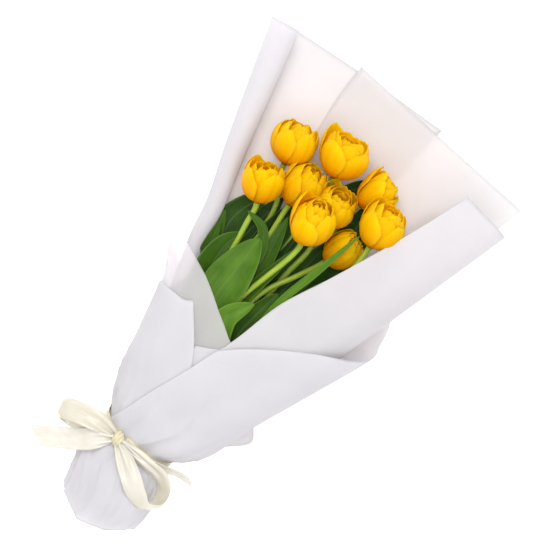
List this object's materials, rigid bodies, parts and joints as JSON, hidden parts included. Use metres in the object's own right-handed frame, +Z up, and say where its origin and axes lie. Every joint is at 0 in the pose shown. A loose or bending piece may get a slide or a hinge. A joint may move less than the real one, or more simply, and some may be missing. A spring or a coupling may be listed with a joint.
{
  "type": "bunch of tulips",
  "caption": "Bunch of yellow double tulips lying on its back, wrapped in pale translucent paper and tied with a cream satin bow",
  "frame": {"origin": "middle of the bounding box's base, on the surface that the bunch lies on", "axes": "+Y along the bunch from the cut ends to the blooms, +X to the right seen from above, +Z up"},
  "size_m": [0.3561, 0.5897, 0.1059],
  "materials": {
    "wrap_paper": "matte, slightly translucent",
    "petal": "silky",
    "leaf": "waxy",
    "ribbon": "satin"
  },
  "bodies": {
    "root": {"wrap_lower_front": "wrap_paper", "wrap_left_outer": "wrap_paper", "wrap_right_flap": "wrap_paper", "wrap_left_inner": "wrap_paper", "wrap_back_left": "wrap_paper", "wrap_back_right": "wrap_paper", "bloom_01": "petal", "stem_01": "leaf", "bloom_02": "petal", "stem_02": "leaf", "bloom_03": "petal", "stem_03": "leaf", "bloom_04": "petal", "stem_04": "leaf", "bloom_05": "petal", "stem_05": "leaf", "bloom_06": "petal", "stem_06": "leaf", "bloom_07": "petal", "stem_07": "leaf", "bloom_08": "petal", "stem_08": "leaf", "bloom_09": "petal", "stem_09": "leaf", "ribbon_bow": "ribbon"}
  },
  "joints": []
}
